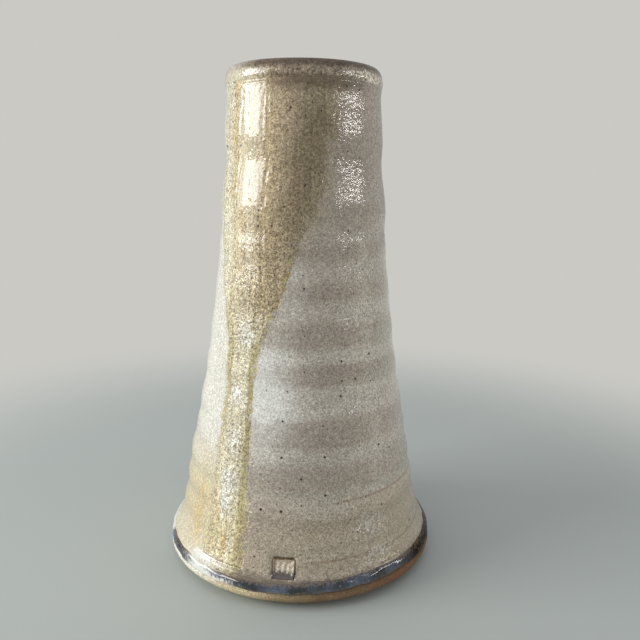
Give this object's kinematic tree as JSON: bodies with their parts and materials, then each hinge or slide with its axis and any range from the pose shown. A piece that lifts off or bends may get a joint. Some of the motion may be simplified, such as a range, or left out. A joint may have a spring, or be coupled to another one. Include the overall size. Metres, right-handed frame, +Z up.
{
  "type": "stoneware pottery vase",
  "caption": "Tall tapering wheel-thrown stoneware vase with a flared foot flange, throwing rings, a rolled lip and a running ash glaze.",
  "frame": {"origin": "centre of the foot ring's resting face", "axes": "+Z up along the vase's axis of turning, -Y towards the front, where the seal and the ash run are"},
  "size_m": [0.17, 0.17, 0.296],
  "materials": {
    "bare_clay": "unglazed toasted stoneware, matt",
    "ash_glaze": "warm grey-beige ash glaze, speckled, glossy",
    "liner_glaze": "plain liner glaze, satin gloss",
    "iron_glaze": "blue-black pooled iron glaze, very glossy",
    "ash_run": "golden-olive melted wood ash, streaky gloss",
    "seal_clay": "impressed clay with dark glaze caught in it"
  },
  "bodies": {
    "root": {"foot_ring": "bare_clay", "base_plate": "bare_clay", "body_wall": "bare_clay", "lip_ring": "ash_glaze", "outer_glaze": "ash_glaze", "liner_glaze": "liner_glaze", "iron_glaze_band": "iron_glaze", "ash_glaze_run": "ash_run", "seal_tablet": "seal_clay"}
  },
  "joints": []
}
